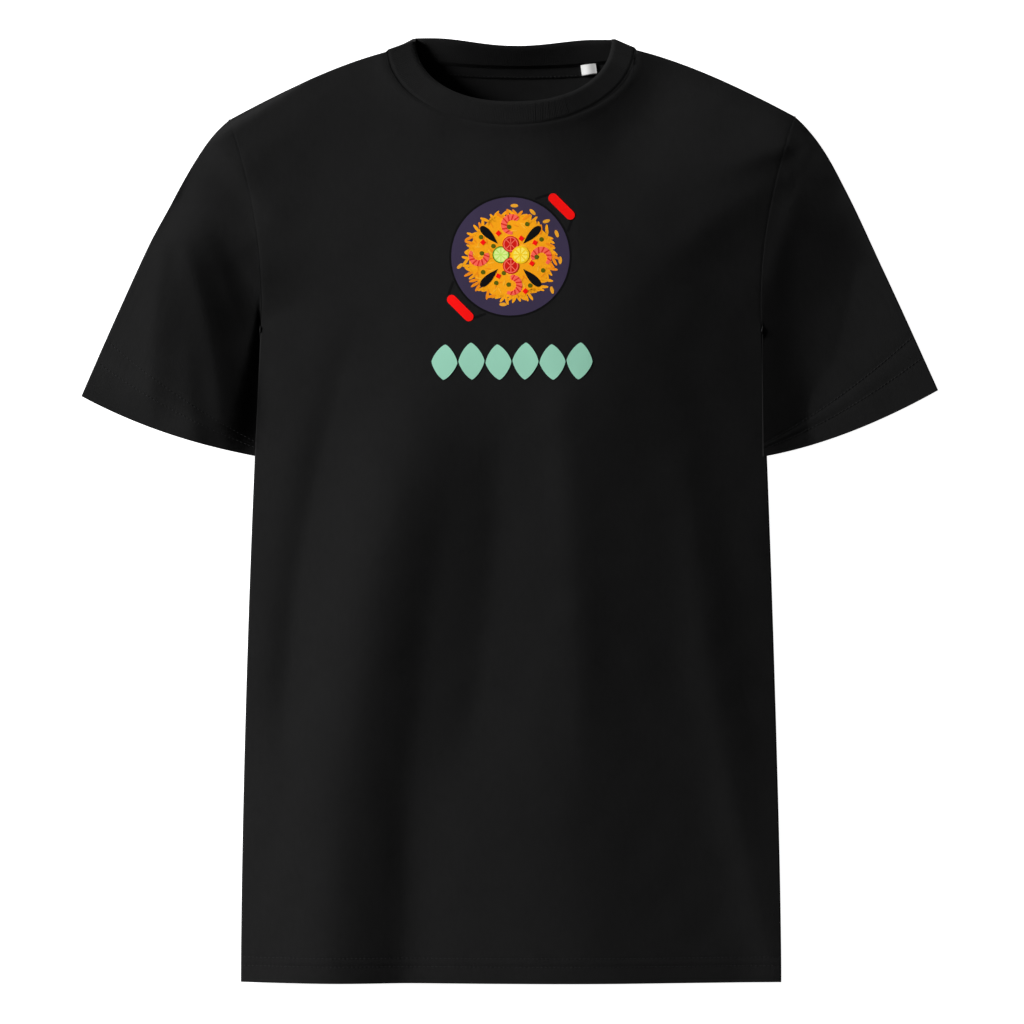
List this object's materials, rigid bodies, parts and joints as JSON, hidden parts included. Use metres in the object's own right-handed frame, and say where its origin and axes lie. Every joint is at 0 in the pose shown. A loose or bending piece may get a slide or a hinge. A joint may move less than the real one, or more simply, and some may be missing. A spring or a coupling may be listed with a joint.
{
  "type": "t-shirt",
  "caption": "Black short-sleeved crew-neck cotton T-shirt with a printed food drawing on the chest, lying on its back.",
  "frame": {"origin": "on the floor, in the middle of the shirt's outline", "axes": "+Z out of the chest, +Y from the hem to the neck, +X to the right as the front is seen"},
  "size_m": [0.696, 0.761, 0.0404],
  "materials": {
    "jersey": "black cotton jersey, matt with a faint nap",
    "rib": "black cotton one by one rib, matt",
    "tape": "black cotton herringbone tape, matt",
    "label": "white woven satin label with nothing on it",
    "thread": "black polyester sewing thread, slight shine",
    "print": "flat fields of printed ink on the jersey, matt"
  },
  "bodies": {
    "root": {"front_panel": "jersey", "back_panel": "jersey", "sleeve_left": "jersey", "sleeve_right": "jersey", "collar": "rib", "neck_tape": "tape", "size_label": "label"}
  },
  "joints": []
}
